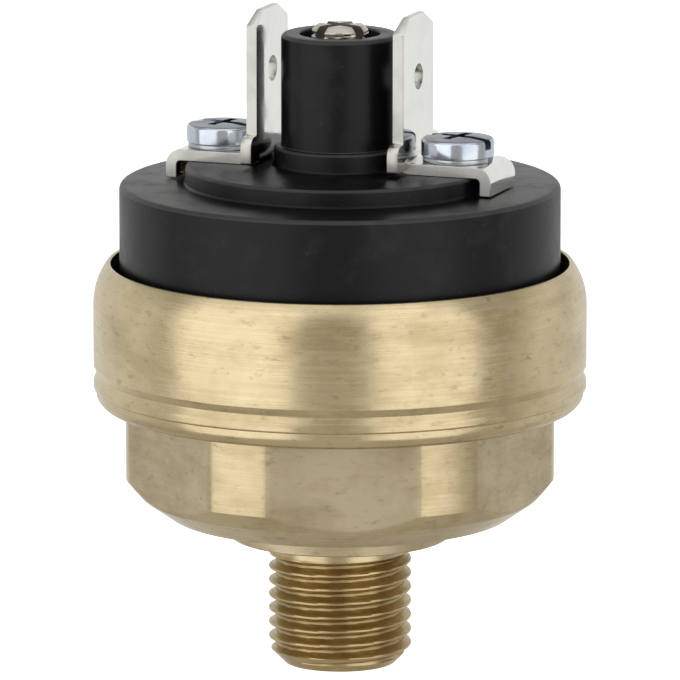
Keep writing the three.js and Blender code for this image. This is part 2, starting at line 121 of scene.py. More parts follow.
POCKET_RADIUS, POCKET_FLOOR = 12.0, 7.0  # room of the diaphragm and the guide ring
CHAMBER_RADIUS, CHAMBER_FLOOR = 7.4, 5.9  # pressure chamber under the diaphragm

# Cover
COVER_RADIUS, COVER_TOP, COVER_BOTTOM = 15.4, 25.1, 12.65
FLANGE_RADIUS, FLANGE_TOP, SHOULDER_TOP = high("terminal_cover").x, 17.3, 18.6
SEAL_GROOVE_INNER, SEAL_GROOVE_OUTER, SEAL_GROOVE_TOP = 13.5, 15.1, 14.0
RIM_RADIUS, RIM_TOP = 11.2, 13.4  # narrower mouth of the room of the contacts
ROOM_RADIUS, ROOM_TOP = 11.9, 20.6
PLATEAU_RADIUS, PLATEAU_TOP = 10.8, 26.4
POST_FOOT_RADIUS, POST_FOOT_TOP = 4.6, 27.8
POST_RADIUS, POST_TOP = 4.1, high("terminal_cover").z
MOUTH_RADIUS, SPRING_ROOM_RADIUS, SPRING_ROOM_TOP = 2.8, 3.35, 29.6
BUSH_HOLE_RADIUS = 2.22
BLEND_HEIGHT = 0.25  # height of the rounded corners where a wall of the cover starts

# Terminals and screws
SCREW_X = 8.7
SCREW_HOLE_RADIUS = 1.62
SHEET = 0.8  # thickness of the terminals
FOOT_WIDTH, FOOT_TOP = 5.3, PLATEAU_TOP + SHEET
TAB_INNER, TAB_OUTER = 5.0, 5.0 + SHEET  # distances of the tab's two faces from the part's axis
TAB_FOOT = 29.5  # height from which a terminal is only its tab
TAB_TOP = high("terminal_right").z
DETENT_RADIUS, DETENT_HEIGHT = 0.9, 32.9

SQUARE = ((-1, -1), (1, -1), (1, 1), (-1, 1))  # corners in order round it


# ---------------------------------------------------------------------------------------------------
# Meshes
# ---------------------------------------------------------------------------------------------------


def rounded(corners, steps=4):
    """Points of a closed outline. A corner is (a, b) or (a, b, fillet); fillets become arcs."""
    points = []
    count = len(corners)
    for i, corner in enumerate(corners):
        here = Vector(corner[:2])
        fillet = corner[2] if len(corner) > 2 else 0
        if not fillet:
            points.append(tuple(here))
            continue
        before = (Vector(corners[i - 1][:2]) - here).normalized()
        after = (Vector(corners[(i + 1) % count][:2]) - here).normalized()
        half = before.angle(after) / 2
        centre = here + (before + after).normalized() * fillet / math.sin(half)
        start = here + before * fillet / math.tan(half) - centre
        end = here + after * fillet / math.tan(half) - centre
        turn = start.angle_signed(end)
        for step in range(steps + 1):
            angle = -turn * step / steps
            x = start.x * math.cos(angle) - start.y * math.sin(angle)
            y = start.x * math.sin(angle) + start.y * math.cos(angle)
            points.append((centre.x + x, centre.y + y))
    return points


def subdivided(start, end, count):
    """Points from start to just before end."""
    return [tuple(Vector(start).lerp(Vector(end), i / count)) for i in range(count)]


def new_piece(name, vertices, faces, smooth_angle=SMOOTH_ANGLE):
    mesh = bpy.data.meshes.new(name)
    mesh.from_pydata([(x * MM, y * MM, z * MM) for x, y, z in vertices], [], faces)
    mesh.validate()
    piece = bpy.data.objects.new(name, mesh)
    bpy.context.scene.collection.objects.link(piece)
    shade(piece, smooth_angle)
    return piece


def shade(piece, smooth_angle=SMOOTH_ANGLE):
    piece.data.shade_smooth()
    piece.data.set_sharp_from_angle(angle=math.radians(smooth_angle))


def turned_mesh(path, columns, shape=None):
    """Turns a closed path of (radius, height) about Z.

    shape(radius, height, angle) gives the radius of a point.
    """
    vertices, rows = [], []
    for radius, height in path:
        if radius < 1e-6:
            rows.append([len(vertices)] * columns)
            vertices.append((0, 0, height))
            continue
        rows.append(list(range(len(vertices), len(vertices) + columns)))
        for column in range(columns):
            angle = 2 * math.pi * column / columns
            r = shape(radius, height, angle) if shape else radius
            vertices.append((r * math.cos(angle), r * math.sin(angle), height))
    faces = []
    for row, following in zip(rows, rows[1:] + rows[:1]):
        for column in range(columns):
            beside = (column + 1) % columns
            corners = (row[column], row[beside], following[beside], following[column])
            face = list(dict.fromkeys(corners))
            if len(face) > 2:
                faces.append(face)
    return vertices, faces


def turned(name, path, columns, shape=None, smooth_angle=SMOOTH_ANGLE):
    return new_piece(name, *turned_mesh(path, columns, shape), smooth_angle)


def cylinder(name, radius, bottom, top, columns):
    return turned(name, [(0, bottom), (radius, bottom), (radius, top), (0, top)], columns)


def arc(radius, height, size, end, step=15):
    """Points of an arc of that size about (radius, height), at every step of degrees before end."""
    turns = [math.radians(a) for a in range(0, end, step)]
    return [(radius + size * math.cos(a), height + size * math.sin(a)) for a in turns]


def prism(name, outline, depth, place):
    """Extrudes a closed outline of (a, b) points by a depth along c; place(a, b, c) gives their places."""
    count = len(outline)
    vertices = [place(a, b, c) for c in (0, depth) for a, b in outline]
    sides = [(i, (i + 1) % count, (i + 1) % count + count, i + count) for i in range(count)]
    faces = [tuple(reversed(range(count))), tuple(range(count, 2 * count)), *sides]
    piece = new_piece(name, vertices, faces)
    make_normals_consistent(piece)
    return piece


def make_normals_consistent(piece):
    mesh = bmesh.new()
    mesh.from_mesh(piece.data)
    bmesh.ops.recalc_face_normals(mesh, faces=mesh.faces)
    mesh.to_mesh(piece.data)
    mesh.free()


def apply_modifiers(piece):
    graph = bpy.context.evaluated_depsgraph_get()
    result = bpy.data.meshes.new_from_object(piece.evaluated_get(graph))
    piece.modifiers.clear()
    piece.data = result


def combine(piece, tool, operation):
    """Cuts or joins piece with tool, and removes the tool."""
    step = piece.modifiers.new("combine", "BOOLEAN")
    step.operation = operation
    step.object = tool
    step.solver = "EXACT"
    apply_modifiers(piece)
    bpy.data.objects.remove(tool)


def bevel(piece, width, segments=2, angle=35):
    """Rounds the edges sharper than angle, after joining coplanar faces."""
    mesh = bmesh.new()
    mesh.from_mesh(piece.data)
    bmesh.ops.remove_doubles(mesh, verts=mesh.verts, dist=1e-7)
    bmesh.ops.dissolve_limit(mesh, angle_limit=math.radians(0.5), verts=mesh.verts, edges=mesh.edges)
    mesh.to_mesh(piece.data)
    mesh.free()
    step = piece.modifiers.new("edges", "BEVEL")
    step.width = width * MM
    step.segments = segments
    step.limit_method = "ANGLE"
    step.angle_limit = math.radians(angle)
    apply_modifiers(piece)
    shade(piece)


def keep_flats_flat(piece):
    """Takes the shading of rounded edges from the flat faces beside them."""
    step = piece.modifiers.new("flats", "WEIGHTED_NORMAL")
    step.keep_sharp = True
    apply_modifiers(piece)


def smooth_least(a, b, blend):
    """The smaller of two numbers, rounded where they are within blend of each other."""
    overlap = max(blend - abs(a - b), 0) / blend
    return min(a, b) - overlap * overlap * blend / 4


def thread_radius(height, angle, major, pitch, phase=0.0):
    """Radius of a right-hand thread: flat crests, flanks near 60 degrees and a narrow flat root."""
    depth = 0.613 * pitch
    turns = (height / pitch - phase - angle / (2 * math.pi)) % 1
    from_crest = min(turns, 1 - turns)
    half_crest, flank = 0.07, 0.34
    straight, rounding = 0.6, 0.4  # shares of a straight flank and one that is rounded at both ends
    down = min(max((from_crest - half_crest) / flank, 0), 1)
    eased = down * down * (3 - 2 * down)
    return major - depth * (straight * down + rounding * eased)


# ---------------------------------------------------------------------------------------------------
# Materials
# ---------------------------------------------------------------------------------------------------


def add_node(tree, kind, **settings):
    node = tree.nodes.new(kind)
    for name, value in settings.items():
        setattr(node, name, value)
    return node


def new_material(name, colour, metallic, roughness):
    material = bpy.data.materials.new(name)
    material.use_nodes = True
    shader = material.node_tree.nodes["Principled BSDF"]
    shader.inputs["Base Color"].default_value = (*colour, 1)
    shader.inputs["Metallic"].default_value = metallic
    shader.inputs["Roughness"].default_value = roughness
    return material, material.node_tree, shader


def object_coordinates(tree):
    return add_node(tree, "ShaderNodeTexCoord").outputs["Object"]


def squeezed(tree, vector, factor):
    """Coordinates squeezed along Z, which draws a pattern out sideways."""
    node = add_node(tree, "ShaderNodeMapping")
    node.inputs["Scale"].default_value = (1, 1, factor)
    tree.links.new(vector, node.inputs["Vector"])
    return node.outputs["Vector"]


def noise(tree, vector, scale, detail=2.0, roughness=0.5):
    node = add_node(tree, "ShaderNodeTexNoise")
    node.inputs["Scale"].default_value = scale
    node.inputs["Detail"].default_value = detail
    node.inputs["Roughness"].default_value = roughness
    tree.links.new(vector, node.inputs["Vector"])
    return node.outputs["Fac"]


def remapped(tree, value, from_low, from_high, to_low=0.0, to_high=1.0):
    node = add_node(tree, "ShaderNodeMapRange", clamp=True)
    limits = {"From Min": from_low, "From Max": from_high, "To Min": to_low, "To Max": to_high}
    for name, number in limits.items():
        node.inputs[name].default_value = number
    tree.links.new(value, node.inputs["Value"])
    return node.outputs["Result"]


def mixed(tree, factor, first, second):
    """A colour between two, each a colour or another node's output."""
    node = add_node(tree, "ShaderNodeMix", data_type="RGBA")
    tree.links.new(factor, node.inputs["Factor"])
    sockets = [s for s in node.inputs if s.type == "RGBA"]
    for socket, colour in zip(sockets, (first, second)):
        if isinstance(colour, tuple):
            socket.default_value = (*colour, 1)
        else:
            tree.links.new(colour, socket)
    return next(s for s in node.outputs if s.type == "RGBA")


def bumped(tree, shader, height, strength, distance, normal=None):
    node = add_node(tree, "ShaderNodeBump")
    node.inputs["Strength"].default_value = strength
    node.inputs["Distance"].default_value = distance * MM
    tree.links.new(height, node.inputs["Height"])
    if normal is not None:
        tree.links.new(normal, node.inputs["Normal"])
    tree.links.new(node.outputs["Normal"], shader.inputs["Normal"])
    return node.outputs["Normal"]


def turning_marks(tree, across, along):
    """Noise drawn out round Z: fine lines across the tool's path, slowly changing along it."""
    split = add_node(tree, "ShaderNodeSeparateXYZ")
    tree.links.new(object_coordinates(tree), split.inputs[0])
    flat = add_node(tree, "ShaderNodeCombineXYZ")
    tree.links.new(split.outputs["X"], flat.inputs["X"])
    tree.links.new(split.outputs["Y"], flat.inputs["Y"])
    length = add_node(tree, "ShaderNodeVectorMath", operation="LENGTH")
    tree.links.new(flat.outputs[0], length.inputs[0])
    direction = add_node(tree, "ShaderNodeVectorMath", operation="NORMALIZE")
    tree.links.new(flat.outputs[0], direction.inputs[0])
    stretched = add_node(tree, "ShaderNodeVectorMath", operation="SCALE")
    stretched.inputs["Scale"].default_value = along
    tree.links.new(direction.outputs[0], stretched.inputs[0])
    height = add_node(tree, "ShaderNodeMath", operation="MULTIPLY")
    height.inputs[1].default_value = across
    tree.links.new(split.outputs["Z"], height.inputs[0])
    lift = add_node(tree, "ShaderNodeCombineXYZ")
    tree.links.new(height.outputs[0], lift.inputs["Z"])
    place = add_node(tree, "ShaderNodeVectorMath", operation="ADD")
    tree.links.new(stretched.outputs[0], place.inputs[0])
    tree.links.new(lift.outputs[0], place.inputs[1])
    radius = add_node(tree, "ShaderNodeMath", operation="MULTIPLY")
    radius.inputs[1].default_value = across
    tree.links.new(length.outputs["Value"], radius.inputs[0])
    node = add_node(tree, "ShaderNodeTexNoise", noise_dimensions="4D")
    node.inputs["Scale"].default_value = 1.0
    node.inputs["Detail"].default_value = 3.0
    tree.links.new(place.outputs[0], node.inputs["Vector"])
    tree.links.new(radius.outputs[0], node.inputs["W"])
    return node.outputs["Fac"]


def brass_material(name, bright, stained, stain_amount, roughness):
    """Turned, unlacquered brass: turning lines, cloudy patina, brown smudges and short dark marks."""
    material, tree, shader = new_material(name, bright, 1.0, roughness)
    place = object_coordinates(tree)
    clouds = remapped(tree, noise(tree, place, 260, 4.0, 0.6), 0.42, 0.7, 0, stain_amount)
    smudges = remapped(tree, noise(tree, squeezed(tree, place, 2.6), 140, 6.0, 0.66), 0.47, 0.68, 0, 0.6)
    specks = remapped(tree, noise(tree, squeezed(tree, place, 2.2), 900, 4.0, 0.62), 0.58, 0.74, 0, 0.42)
    marks = turning_marks(tree, 9000, 2.2)
    patina = mixed(tree, clouds, bright, stained)
    smudged = mixed(tree, smudges, patina, (0.36, 0.27, 0.14))
    lined = mixed(tree, remapped(tree, marks, 0.3, 0.7, 0, 0.18), smudged, stained)
    tree.links.new(mixed(tree, specks, lined, (0.16, 0.11, 0.06)), shader.inputs["Base Color"])
    wear = remapped(tree, marks, 0.35, 0.65, roughness - 0.05, roughness + 0.07)
    tree.links.new(wear, shader.inputs["Roughness"])
    bumped(tree, shader, marks, 0.25, 0.02)
    return material


def black_moulding_material(name, base, scuffed, roughness):
    """Black moulded plastic: fine grain, faint scuffs and a soft sheen."""
    material, tree, shader = new_material(name, base, 0.0, roughness)
    shader.inputs["Specular IOR Level"].default_value = 0.21
    place = object_coordinates(tree)
    grain = noise(tree, place, 5200, 2.0)
    scuffs = remapped(tree, noise(tree, place, 420, 5.0, 0.65), 0.5, 0.8)
    dust = remapped(tree, noise(tree, place, 2300, 1.0), 0.72, 0.8)
    greyed = mixed(tree, scuffs, base, scuffed)
    dusty = mixed(tree, remapped(tree, dust, 0, 1, 0, 0.3), greyed, (0.035, 0.035, 0.037))
    tree.links.new(dusty, shader.inputs["Base Color"])
    tree.links.new(remapped(tree, scuffs, 0, 1, roughness, roughness + 0.14), shader.inputs["Roughness"])
    bumped(tree, shader, grain, 0.3, 0.03)
    return material


def plated_material(name, colour, shaded, roughness, wave=0.012):
    """Plated metal: even and bright, with slight waves, faint dulling and fine scratches."""
    material, tree, shader = new_material(name, colour, 1.0, roughness)
    place = object_coordinates(tree)
    clouds = remapped(tree, noise(tree, place, 500, 3.0), 0.4, 0.75)
    clouded = mixed(tree, remapped(tree, clouds, 0, 1, 0, 0.5), colour, shaded)
    tree.links.new(clouded, shader.inputs["Base Color"])
    dulled = remapped(tree, clouds, 0, 1, roughness - 0.04, roughness + 0.1)
    tree.links.new(dulled, shader.inputs["Roughness"])
    ripple = noise(tree, place, 420, 1.0)
    normal = bumped(tree, shader, ripple, 0.35, wave)
    scratches = noise(tree, place, 6000, 1.0)
    bumped(tree, shader, scratches, 0.12, 0.01, normal)
    return material


def rubber_material():
    material, tree, shader = new_material("rubber", (0.02, 0.02, 0.021), 0.0, 0.75)
    place = object_coordinates(tree)
    bloom = remapped(tree, noise(tree, place, 700, 4.0), 0.4, 0.8)
    greyed = mixed(tree, bloom, (0.018, 0.018, 0.019), (0.045, 0.044, 0.043))
    tree.links.new(greyed, shader.inputs["Base Color"])
    bumped(tree, shader, noise(tree, place, 4500, 2.0), 0.3, 0.03)
    return material


def natural_moulding_material():
    material, tree, shader = new_material("natural_moulding", (0.82, 0.78, 0.66), 0.0, 0.5)
    place = object_coordinates(tree)
    flow = remapped(tree, noise(tree, place, 350, 3.0), 0.35, 0.75)
    tree.links.new(mixed(tree, flow, (0.82, 0.78, 0.66), (0.70, 0.65, 0.52)), shader.inputs["Base Color"])
    shader.inputs["Subsurface Weight"].default_value = 0.1
    shader.inputs["Subsurface Scale"].default_value = 0.001
    bumped(tree, shader, noise(tree, place, 5000, 2.0), 0.2, 0.02)
    return material


BRASS = brass_material("brass", (0.62, 0.52, 0.325), (0.44, 0.35, 0.20), 0.5, 0.25)
THREAD_BRASS = brass_material("thread_brass", (0.52, 0.405, 0.215), (0.32, 0.225, 0.10), 0.75, 0.3)
# Darker, duller brass painted into the thread's roots: a painted shade where the roots lie in shadow.
ROOT_SHADE_BRASS = brass_material("root_shade_brass", (0.43, 0.325, 0.16), (0.26, 0.18, 0.08), 0.8, 0.4)
CORNER_BRASS = brass_material("corner_brass", (0.545, 0.455, 0.285), (0.38, 0.305, 0.175), 0.6, 0.27)
DRAWN_BRASS = brass_material("drawn_brass", (0.53, 0.45, 0.30), (0.40, 0.335, 0.225), 0.9, 0.46)
JET = (0.0022, 0.0022, 0.0028)
BLACK = black_moulding_material("black_moulding", JET, (0.011, 0.0105, 0.012), 0.36)
POLISHED_BLACK = black_moulding_material("polished_black", JET, (0.009, 0.0085, 0.01), 0.32)
# Lighter black for the cover's up-facing rounded edges: a painted highlight where overhead light catches
# them, with some edge wear.
EDGE_WEAR_AND_HIGHLIGHT_BLACK = black_moulding_material("edge_wear_and_highlight_black", (0.026, 0.026, 0.027), (0.045, 0.044, 0.045), 0.36)
ZINC = plated_material("zinc", (0.56, 0.61, 0.68), (0.32, 0.36, 0.42), 0.17)
NICKEL = plated_material("nickel", (0.52, 0.49, 0.44), (0.30, 0.28, 0.25), 0.26)
TIN = plated_material("tin", (0.86, 0.86, 0.83), (0.76, 0.76, 0.72), 0.1, 0.0015)
# Darker, duller zinc for the screw heads' tops and slot floors: the darker colour is a painted shade, as
# the tops catch little light.
DULL_SHADED_ZINC = plated_material("dull_shaded_zinc", (0.30, 0.33, 0.37), (0.15, 0.17, 0.20), 0.3)
SHEARED_TIN = plated_material("sheared_tin", (0.72, 0.715, 0.68), (0.50, 0.495, 0.46), 0.3)
SPRING_STEEL = plated_material("spring_steel", (0.50, 0.51, 0.54), (0.34, 0.35, 0.37), 0.28)
SILVER = plated_material("silver", (0.92, 0.90, 0.86), (0.75, 0.72, 0.66), 0.18)
RUBBER = rubber_material()
NATURAL = natural_moulding_material()


def paint(piece, materials, choose):
    """Adds materials to the piece's own, and gives each face the one that choose(face) returns."""
    for material in materials:
        piece.data.materials.append(material)
    order = list(piece.data.materials)
    for face in piece.data.polygons:
        face.material_index = order.index(choose(face))


def finish_piece(piece, material, body, node):
    """Gives the piece its material, and makes it ride on a body in place of a CAD node."""
    piece.data.materials.clear()
    piece.data.materials.append(material)
    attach(piece, body)
    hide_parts(node)


# ---------------------------------------------------------------------------------------------------
# Brass body
# ---------------------------------------------------------------------------------------------------


def hexagon_radius(angle):
    """Distance from the axis to the hexagon's side at that angle."""
    sector = math.radians(60)
    off_flat = (angle - HEX_TURN + sector / 2) % sector - sector / 2
    return HEX_FLAT / math.cos(off_flat)


def body_shape(radius, height, angle):
    """Radius of a point of the body: its thread and its hexagon aren't round."""
    if radius == THREAD_MAJOR:
        thread = thread_radius(height, angle, THREAD_MAJOR, THREAD_PITCH, THREAD_PHASE)
        fade = min(max((height - THREAD_FULL) / (NECK_BOTTOM - THREAD_FULL), 0), 1)
        return min(thread + (NECK_RADIUS - thread) * fade, TIP_RADIUS + height - SPIGOT_END)
    if HEX_FOOT < radius <= HEX_CORNER and height < RING_BOTTOM + 1e-6:
        return smooth_least(radius, hexagon_radius(angle), HEX_EDGE)
    return radius


def brass_finish_and_root_shade(face):
    """The brass of a face of the body: duller on drawn flats, browner in the thread, and darker in the
    thread's roots, which is a painted shade.
    """
    x, y, z = face.center / MM
    radius = math.hypot(x, y)
    off_flat = abs(radius - hexagon_radius(math.atan2(y, x)))
    # Painted shade: the thread's roots get a darker brass, as shade falls in them.
    if SPIGOT_END + TIP_HEIGHT < z < NECK_BOTTOM and TIP_RADIUS < radius < ROOT_RADIUS:
        return ROOT_SHADE_BRASS
    if z < NECK_BOTTOM and radius > TIP_RADIUS * 0.6:
        return THREAD_BRASS
    if RUN_OUT_DEPTH < z < COLLAR_TOP and radius > COLLAR_RADIUS * 0.95:
        return DRAWN_BRASS
    if NECK_BOTTOM < z < RUN_OUT_DEPTH and radius > TIP_RADIUS:
        return CORNER_BRASS
    if COLLAR_TOP < z < RING_BOTTOM and off_flat < 0.06:
        return DRAWN_BRASS
    if HEX_CORNER_FOOT < z < RING_BOTTOM and radius > HEX_FLAT:
        return CORNER_BRASS
    return BRASS


def brass_body():
    rows = round((RUN_OUT_DEPTH - SPIGOT_END) / THREAD_PITCH * THREAD_ROWS)
    spigot = subdivided((THREAD_MAJOR, SPIGOT_END), (THREAD_MAJOR, RUN_OUT_DEPTH), rows)
    run_out = [
        (THREAD_MAJOR, RUN_OUT_DEPTH), (RUN_OUT_RADIUS, RUN_OUT_DEPTH), (RUN_OUT_RADIUS + 0.05, 0),
    ]
    collar = rounded([
        (COLLAR_RADIUS, 0, 0.12), (COLLAR_RADIUS, COLLAR_TOP), (HEX_FOOT, COLLAR_TOP, 0.12),
        (HEX_CORNER, HEX_CORNER_FOOT), (RUN_OUT_RADIUS, HEX_CORNER_FOOT), (RUN_OUT_RADIUS, 0),
    ])[:-3]
    chamfer = subdivided(collar[-1], (KNEE_RADIUS, KNEE_HEIGHT), 24)[1:]
    chamfer += subdivided((KNEE_RADIUS, KNEE_HEIGHT), (HEX_CORNER, HEX_CORNER_FOOT), 20)
    corner = subdivided((HEX_CORNER, HEX_CORNER_FOOT), (HEX_CORNER, RING_BOTTOM), 8)
    ring = rounded([
        (HEX_CORNER, RING_BOTTOM),
        (STEP_RADIUS, RING_BOTTOM, 1.05),
        (STEP_RADIUS, STEP_BOTTOM, 0.04),
        (RING_RADIUS, STEP_TOP, 0.12),
        (RING_RADIUS, GROOVE_BOTTOM, 0.4),
        (GROOVE_RADIUS, GROOVE_MIDDLE, 0.12),
        (RING_RADIUS, GROOVE_TOP, 0.15),
        (RING_RADIUS, BULGE_TOP, BULGE_FILLET),
        (LIP_EDGE, LIP_TOP, 0.25),
        (LIP_RADIUS, LIP_TOP, 0.12),
        (LIP_RADIUS, LIP_BOTTOM),
        (CAVITY_RADIUS, CAVITY_TOP),
        (CAVITY_RADIUS, CAVITY_FLOOR),
        (POCKET_RADIUS, CAVITY_FLOOR, 0.15),
        (POCKET_RADIUS, POCKET_FLOOR),
        (CHAMBER_RADIUS, POCKET_FLOOR, 0.2),
        (CHAMBER_RADIUS, CHAMBER_FLOOR),
        (BORE_RADIUS, CHAMBER_FLOOR, 0.2),
        (BORE_RADIUS, BORE_CHAMFER_TOP),
        (BORE_RADIUS + BORE_CHAMFER, SPIGOT_END),
    ], steps=6)
    path = spigot + run_out + collar + chamfer + corner + ring
    piece = turned("brass_body_turned", path, BODY_COLUMNS, body_shape, 28)
    finish_piece(piece, BRASS, "housing", "brass_body")
    paint(piece, (THREAD_BRASS, DRAWN_BRASS, CORNER_BRASS, ROOT_SHADE_BRASS), brass_finish_and_root_shade)


# ---------------------------------------------------------------------------------------------------
# Cover
# ---------------------------------------------------------------------------------------------------


def cover_finish_and_edge_highlight(face):
    """The black of a face of the cover: polished on its tops, and a lighter grey on its up-facing rounded
    edges, which is a painted highlight from the overhead light with some edge wear.
    """
    height = face.center.z / MM
    in_corner = any(0 < height - level < BLEND_HEIGHT for level in (COVER_TOP, PLATEAU_TOP))
    if face.normal.z > 0.95:
        return POLISHED_BLACK
    # Painted highlight: up-facing rounded edges get a lighter black.
    if face.normal.z > 0.2 and not in_corner:
        return EDGE_WEAR_AND_HIGHLIGHT_BLACK
    return BLACK


def terminal_cover():
    path = rounded([
        (RIM_RADIUS, COVER_BOTTOM),
        (SEAL_GROOVE_INNER, COVER_BOTTOM),
        (SEAL_GROOVE_INNER, SEAL_GROOVE_TOP),
        (SEAL_GROOVE_OUTER, SEAL_GROOVE_TOP),
        (SEAL_GROOVE_OUTER, COVER_BOTTOM),
        (FLANGE_RADIUS, COVER_BOTTOM, 0.2),
        (FLANGE_RADIUS, FLANGE_TOP, 0.2),
        (COVER_RADIUS, SHOULDER_TOP, 0.2),
        (COVER_RADIUS, COVER_TOP, 0.4),
        (PLATEAU_RADIUS, COVER_TOP, 0.2),
        (PLATEAU_RADIUS, PLATEAU_TOP, 0.28),
        (POST_FOOT_RADIUS, PLATEAU_TOP, 0.2),
        (POST_FOOT_RADIUS, POST_FOOT_TOP, 0.25),
        (POST_RADIUS, POST_FOOT_TOP, 0.1),
        (POST_RADIUS, POST_TOP, 0.35),
        (MOUTH_RADIUS, POST_TOP, 0.15),
        (MOUTH_RADIUS, SPRING_ROOM_TOP),
        (SPRING_ROOM_RADIUS, SPRING_ROOM_TOP),
        (SPRING_ROOM_RADIUS, ROOM_TOP),
        (ROOM_RADIUS, ROOM_TOP),
        (ROOM_RADIUS, RIM_TOP),
        (RIM_RADIUS, RIM_TOP),
    ], steps=5)
    piece = turned("terminal_cover_moulded", path, COVER_COLUMNS)
    for side in (-1, 1):
        hole = cylinder("hole", BUSH_HOLE_RADIUS, ROOM_TOP - CLEAR, PLATEAU_TOP + CLEAR, SMALL_COLUMNS)
        hole.data.transform(Matrix.Translation((side * SCREW_X * MM, 0, 0)))
        combine(piece, hole, "DIFFERENCE")
    shade(piece)
    finish_piece(piece, BLACK, "housing", "terminal_cover")
    paint(piece, (POLISHED_BLACK, EDGE_WEAR_AND_HIGHLIGHT_BLACK), cover_finish_and_edge_highlight)


# ---------------------------------------------------------------------------------------------------
# Terminals
# ---------------------------------------------------------------------------------------------------


def strip_outline():
    """Side of the bent strip: its hooked end, its foot, and the start of its upright tab."""
    hook, hook_bottom = 12.0, low("terminal_right").z
    return rounded([
        (hook - SHEET, hook_bottom),
        (hook - SHEET, PLATEAU_TOP, 0.3),
        (TAB_INNER, PLATEAU_TOP, 1.1),
        (TAB_INNER, TAB_FOOT),
        (TAB_OUTER, TAB_FOOT),
        (TAB_OUTER, FOOT_TOP, 0.3),
        (hook, FOOT_TOP, 1.1),
        (hook, hook_bottom),
    ], steps=8)


def tab_outline():
    """Face of the tab, with a shoulder on each side that reaches down beside the foot."""
    half, shoulder = 3.15, 4.35
    shoulder_bottom, shoulder_top = 26.7, 28.6
    right = [
        (FOOT_WIDTH / 2, shoulder_bottom + 0.8),
        (FOOT_WIDTH / 2, shoulder_bottom),
        (shoulder, shoulder_bottom, 0.15),
        (shoulder, shoulder_top, 0.75),
        (half, shoulder_top, 0.2),
        (half, TAB_TOP - 1.0, 0.25),
        (half - 1.6, TAB_TOP, 0.3),
    ]
    left = [(-y, z, *fillet) for y, z, *fillet in reversed(right)]
    return rounded(right + left, steps=5)


def tip_wedge(face, outwards):
    """What is taken off one face of the tab to thin its tip."""
    length, thinned, width = 0.9, 0.18, 8
    outline = [
        (face, TAB_TOP - length),
        (face + outwards, TAB_TOP - length),
        (face + outwards, TAB_TOP + CLEAR),
        (face - outwards * thinned * 1.6, TAB_TOP + CLEAR),
        (face - outwards * thinned, TAB_TOP),
    ]
    return prism("wedge", outline, width, lambda a, b, c: (a, c - width / 2, b))


def tin_finish(face):
    """The tin of a face of a terminal: duller on the sheared rims of the sheet."""
    on_tab = face.center.z / MM > TAB_FOOT
    sheared = abs(face.normal.y) > 0.15 or on_tab and abs(face.normal.x) < 0.9
    return SHEARED_TIN if sheared else TIN


def terminal(side):
    name = side_name(side)
    piece = prism(f"terminal_{name}_pressed", strip_outline(), FOOT_WIDTH,
                  lambda a, b, c: (a, c - FOOT_WIDTH / 2, b))
    tab = prism("tab", tab_outline(), SHEET, lambda a, b, c: (TAB_INNER + c, a, b))
    for face, outwards in ((TAB_INNER, -1), (TAB_OUTER, 1)):
        combine(tab, tip_wedge(face, outwards), "DIFFERENCE")
    combine(piece, tab, "UNION")
    bevel(piece, 0.09)
    detent = cylinder("detent", DETENT_RADIUS, TAB_INNER - CLEAR, TAB_OUTER + CLEAR, columns=48)
    upright = Matrix.Translation((0, 0, DETENT_HEIGHT * MM))
    detent.data.transform(upright @ Matrix.Rotation(math.pi / 2, 4, "Y"))
    combine(piece, detent, "DIFFERENCE")
    hole = cylinder("hole", SCREW_HOLE_RADIUS, PLATEAU_TOP - CLEAR, FOOT_TOP + CLEAR, columns=64)
    hole.data.transform(Matrix.Translation((SCREW_X * MM, 0, 0)))
    combine(piece, hole, "DIFFERENCE")
    shade(piece)
    keep_flats_flat(piece)
    if side < 0:
        piece.data.transform(Matrix.Rotation(math.pi, 4, "Z"))
    finish_piece(piece, TIN, "housing", f"terminal_{name}")
    paint(piece, (SHEARED_TIN,), tin_finish)
    return piece


# ---------------------------------------------------------------------------------------------------
# Screws
# ---------------------------------------------------------------------------------------------------


def slot_tool(name, width, length, depth, top, turn):
    """Bar that cuts a slot of that width, length and depth into a screw's top."""
    outline = [(x * width / 2, y * length / 2) for x, y in SQUARE]
    tool = prism(name, outline, 2 * depth, lambda a, b, c: (a, b, top - depth + c))
    tool.data.transform(Matrix.Rotation(turn, 4, "Z"))
    return tool


def threaded_path(bottom, top, major, pitch, point):
    """Rows of a threaded shank between two heights, and the shape that gives their radius.

    point is how much narrower the shank's end is than its thread.
    """
    rows_per_pitch = 12
    rows = round((top - bottom) / pitch * rows_per_pitch)

    def shape(radius, height, angle):
        if radius != major:
            return radius
        thread = thread_radius(height, angle, major, pitch)
        return min(thread, major - point + (height - bottom))

    return subdivided((major, bottom), (major, top), rows), shape


